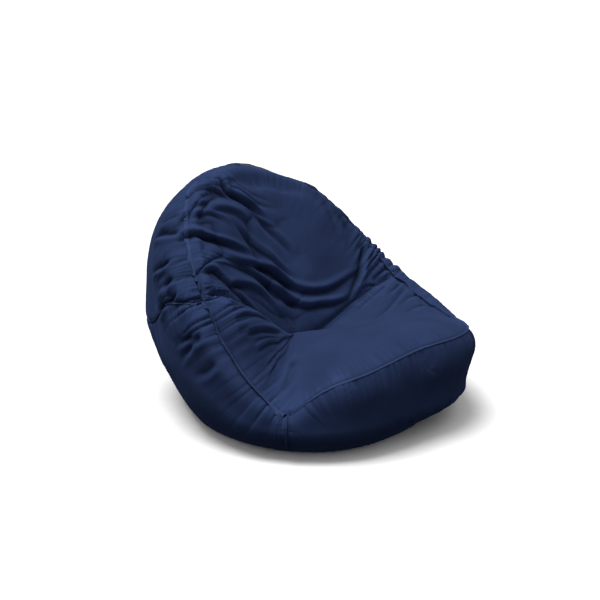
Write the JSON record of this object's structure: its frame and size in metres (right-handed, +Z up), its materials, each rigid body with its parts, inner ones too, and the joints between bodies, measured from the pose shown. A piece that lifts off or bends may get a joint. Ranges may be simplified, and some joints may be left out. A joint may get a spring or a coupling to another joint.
{
  "type": "bean bag chair",
  "caption": "Slouched fabric bean bag chair with raised back-rest, dished seat, raised seams, bead fill in a zipped inner liner, rear zip and carry strap.",
  "frame": {"origin": "middle of the chair's box, on the floor under the base", "axes": "+Z up; the seat faces -Y, the back-rest stands at +Y, and the chair's left as seen from the front is -X"},
  "size_m": [0.9352, 0.9352, 0.7029],
  "materials": {
    "cover_fabric": "brushed matte weave",
    "trim_fabric": "matte weave",
    "liner_fabric": "thin plain weave",
    "label_fabric": "blank satin tape",
    "beads": "expanded polystyrene beads",
    "zip_plastic": "moulded teeth",
    "zip_metal": "dark plated"
  },
  "bodies": {
    "body": {"back_rest_panel": "cover_fabric", "seat_panel": "cover_fabric", "front_panel": "cover_fabric", "left_side_panel": "cover_fabric", "right_side_panel": "cover_fabric", "left_wing_panel": "cover_fabric", "right_wing_panel": "cover_fabric", "base_panel": "trim_fabric", "top_edge_seam": "trim_fabric", "left_seat_seam": "trim_fabric", "right_seat_seam": "trim_fabric", "front_seam": "trim_fabric", "left_corner_seam": "trim_fabric", "right_corner_seam": "trim_fabric", "left_wing_seam": "trim_fabric", "right_wing_seam": "trim_fabric", "seat_back_seam": "trim_fabric", "rear_upper_seam": "trim_fabric", "rear_lower_seam": "trim_fabric", "zip_left_tape": "trim_fabric", "zip_right_tape": "trim_fabric", "carry_handle": "trim_fabric", "liner_left_half": "liner_fabric", "liner_right_half": "liner_fabric", "liner_zip_tape": "liner_fabric", "liner_zip_coil": "label_fabric", "care_label": "label_fabric", "bead_fill": "beads", "zip_left_teeth": "zip_plastic", "zip_right_teeth": "zip_plastic", "zip_top_stop": "zip_metal", "zip_bottom_stop": "zip_metal"},
    "slider": {"zip_slider": "zip_metal"},
    "pull": {"zip_pull": "zip_metal"},
    "liner_slider": {"liner_zip_slider": "zip_metal"}
  },
  "joints": [
    {"name": "zip_slider_travel", "type": "slide", "parent": "body", "child": "slider", "axis": [0, -0.1038, 0.9946], "range_m": [0, 0.3]},
    {"name": "zip_pull_swing", "type": "hinge", "parent": "slider", "child": "pull", "pos_m": [-0.0303, 0.4639, 0.21259], "axis": [1, 0, 0], "range_deg": [0, 170]},
    {"name": "liner_zip_slider_travel", "type": "slide", "parent": "body", "child": "liner_slider", "axis": [0, -0.1038, 0.9946], "range_m": [0, 0.27]}
  ]
}
